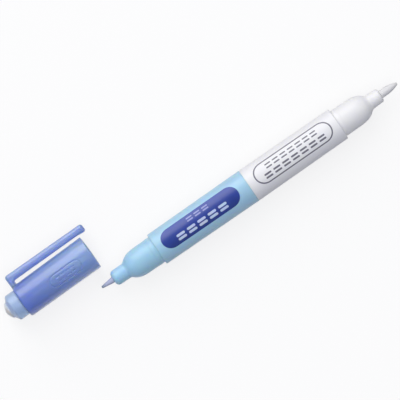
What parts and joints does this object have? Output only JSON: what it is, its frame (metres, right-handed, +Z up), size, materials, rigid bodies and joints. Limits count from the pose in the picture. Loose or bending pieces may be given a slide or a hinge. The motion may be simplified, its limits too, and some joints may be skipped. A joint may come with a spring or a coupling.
{
  "type": "chalk marker",
  "caption": "Double-ended chalk marker with a fine marking nib, an eraser nib and a clip cap that pulls off and lies beside it",
  "frame": {"origin": "the middle of the footprint of the pen and its cap, on the surface that they lie on", "axes": "+X along the pen from its marking nib to its eraser nib, +Y towards the cap that lies beside it, +Z up"},
  "size_m": [0.1447, 0.0265, 0.0117],
  "materials": {
    "blue_barrel": "satin, slightly milky moulded polypropylene",
    "white_barrel": "satin moulded polypropylene",
    "blue_nose": "satin, slightly milky moulded polypropylene",
    "white_nose": "satin moulded polypropylene",
    "marking_fibre": "bonded fibre nib wetted with ink",
    "eraser_fibre": "bonded fibre nib",
    "coupler": "moulded polypropylene",
    "inked_fibre": "fibre rod wetted with ink",
    "eraser_fluid_fibre": "fibre rod wetted with clear fluid",
    "film": "clear film",
    "blue_cap": "glossy translucent moulded polypropylene",
    "seal": "milky moulded polyethylene"
  },
  "bodies": {
    "pen": {"marking_barrel": "blue_barrel", "eraser_barrel": "white_barrel", "marking_nose": "blue_nose", "eraser_nose": "white_nose", "marking_nib": "marking_fibre", "eraser_nib": "eraser_fibre", "centre_coupler": "coupler", "marking_reservoir": "inked_fibre", "eraser_reservoir": "eraser_fluid_fibre", "marking_reservoir_film": "film", "eraser_reservoir_film": "film"},
    "cap": {"cap_shell": "blue_cap", "cap_inner_seal": "seal"}
  },
  "joints": [
    {"name": "cap_slide", "type": "slide", "parent": "pen", "child": "cap", "axis": [0.9998, 0.0209, 0], "range_m": [-0.0035, 0.0179]}
  ]
}
